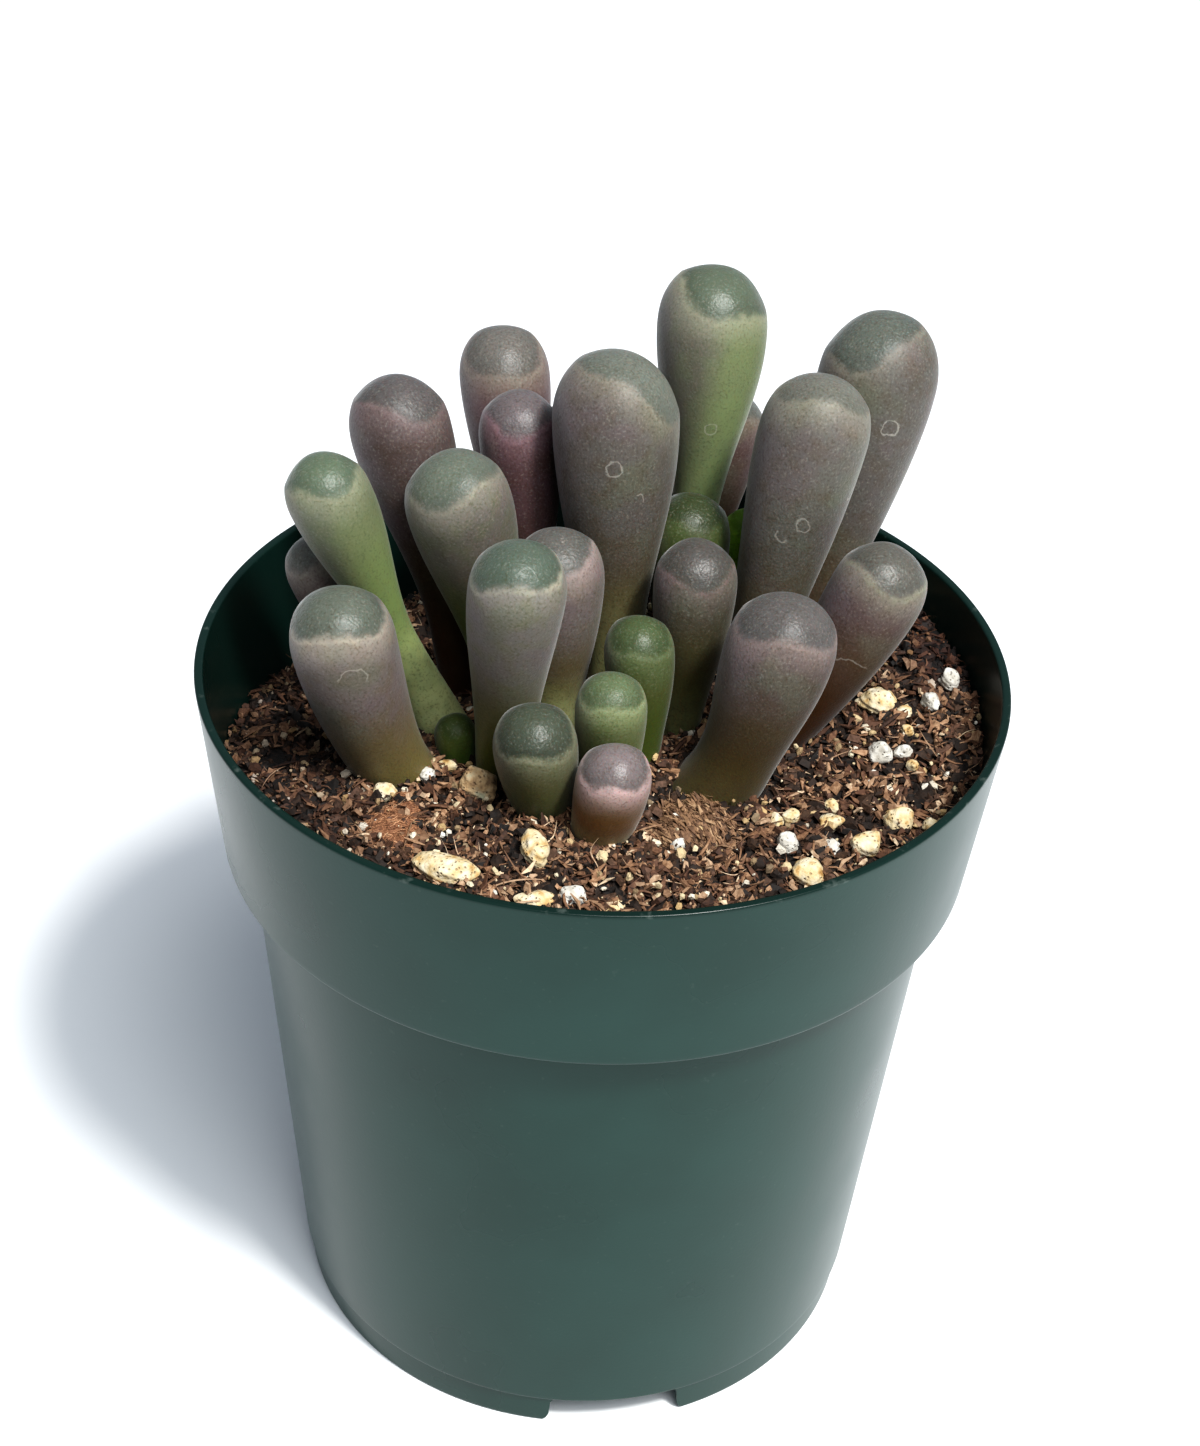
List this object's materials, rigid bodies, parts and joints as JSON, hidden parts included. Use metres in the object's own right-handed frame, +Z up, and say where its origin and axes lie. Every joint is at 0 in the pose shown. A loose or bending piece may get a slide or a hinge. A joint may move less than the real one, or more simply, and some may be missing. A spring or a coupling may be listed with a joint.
{
  "type": "potted baby toes",
  "caption": "Clump of club-shaped succulent leaves with windowed tips, growing in gritty potting mix in a round, banded nursery pot with a notched foot.",
  "frame": {"origin": "on the pot's axis, at the surface that its foot stands on", "axes": "+Z up along the pot's axis; the pictured side faces -Y, with +X to its right"},
  "size_m": [0.089, 0.089, 0.1218],
  "materials": {
    "pot": "satin moulded polypropylene",
    "potting_mix": "loose coir, peat and bark shreds",
    "rootstock": "dry, corky",
    "leaf": "waxy leaf skin, matte",
    "pumice": "rough, porous",
    "perlite": "rough, porous"
  },
  "bodies": {
    "root": {"pot": "pot", "potting_mix": "potting_mix", "rootstock": "rootstock", "leaf_01": "leaf", "leaf_02": "leaf", "leaf_03": "leaf", "leaf_04": "leaf", "leaf_05": "leaf", "leaf_06": "leaf", "leaf_07": "leaf", "leaf_08": "leaf", "leaf_09": "leaf", "leaf_10": "leaf", "leaf_11": "leaf", "leaf_12": "leaf", "leaf_13": "leaf", "leaf_14": "leaf", "leaf_15": "leaf", "leaf_16": "leaf", "leaf_17": "leaf", "leaf_18": "leaf", "leaf_19": "leaf", "leaf_20": "leaf", "leaf_21": "leaf", "leaf_22": "leaf", "leaf_23": "leaf", "leaf_24": "leaf", "leaf_25": "leaf", "pumice_grain_01": "pumice", "pumice_grain_02": "pumice", "pumice_grain_03": "pumice", "pumice_grain_04": "pumice", "pumice_grain_05": "pumice", "pumice_grain_06": "pumice", "pumice_grain_07": "pumice", "pumice_grain_08": "pumice", "pumice_grain_09": "pumice", "pumice_grain_10": "pumice", "pumice_grain_11": "pumice", "perlite_grain_01": "perlite", "perlite_grain_02": "perlite", "perlite_grain_03": "perlite", "perlite_grain_04": "perlite", "perlite_grain_05": "perlite"}
  },
  "joints": []
}
